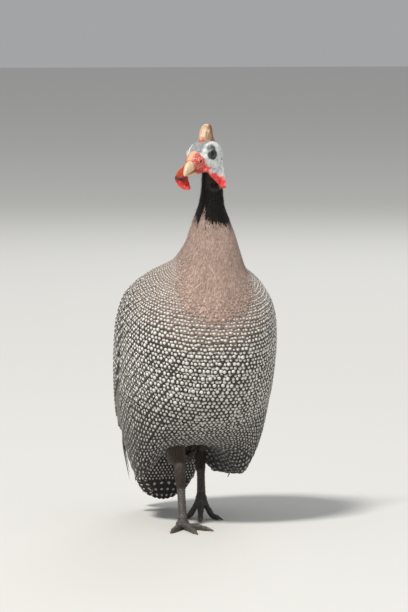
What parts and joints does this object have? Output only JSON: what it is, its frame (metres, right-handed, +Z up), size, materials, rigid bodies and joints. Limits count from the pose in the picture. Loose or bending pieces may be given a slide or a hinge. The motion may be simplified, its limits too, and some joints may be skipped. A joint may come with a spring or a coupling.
{
  "type": "guinea fowl model",
  "caption": "Life-size still model of an adult helmeted guinea fowl in mid stride, head turned to its right, with casque, wattles, spotted body and drooping tail.",
  "frame": {"origin": "On the floor, under the middle of the bird's bounding box.", "axes": "+Z is up, the bird faces -Y, and its left side is +X."},
  "size_m": [0.2044, 0.2766, 0.5165],
  "materials": {
    "plumage": "dark grey feathers with round white spots",
    "collar_plumage": "plain lilac-grey feathers with fine bars",
    "flight_feathers": "grey-brown vanes",
    "face_skin": "bare bluish-white skin",
    "casque_horn": "rough tan horn",
    "bill_horn": "smooth pale horn, red at the base",
    "red_skin": "bare red skin",
    "eye": "dark brown, wet",
    "leg_scales": "grey-brown scales",
    "claw_horn": "brown horn"
  },
  "bodies": {
    "root": {"bill_lower": "bill_horn", "bill_upper": "bill_horn", "casque": "casque_horn", "cere": "red_skin", "claw_hind_left": "claw_horn", "claw_hind_right": "claw_horn", "claw_inner_left": "claw_horn", "claw_inner_right": "claw_horn", "claw_middle_left": "claw_horn", "claw_middle_right": "claw_horn", "claw_outer_left": "claw_horn", "claw_outer_right": "claw_horn", "eye_left": "eye", "eye_right": "eye", "flight_feathers_left": "flight_feathers", "flight_feathers_right": "flight_feathers", "foot_left": "leg_scales", "foot_right": "leg_scales", "head": "face_skin", "neck_lower": "collar_plumage", "neck_upper": "plumage", "shank_left": "leg_scales", "shank_right": "leg_scales", "tail": "plumage", "thigh_left": "plumage", "thigh_right": "plumage", "toe_hind_left": "leg_scales", "toe_hind_right": "leg_scales", "toe_inner_left": "leg_scales", "toe_inner_right": "leg_scales", "toe_middle_left": "leg_scales", "toe_middle_right": "leg_scales", "toe_outer_left": "leg_scales", "toe_outer_right": "leg_scales", "trunk": "plumage", "wattle_left": "red_skin", "wattle_right": "red_skin", "wing_left": "plumage", "wing_right": "plumage"}
  },
  "joints": []
}
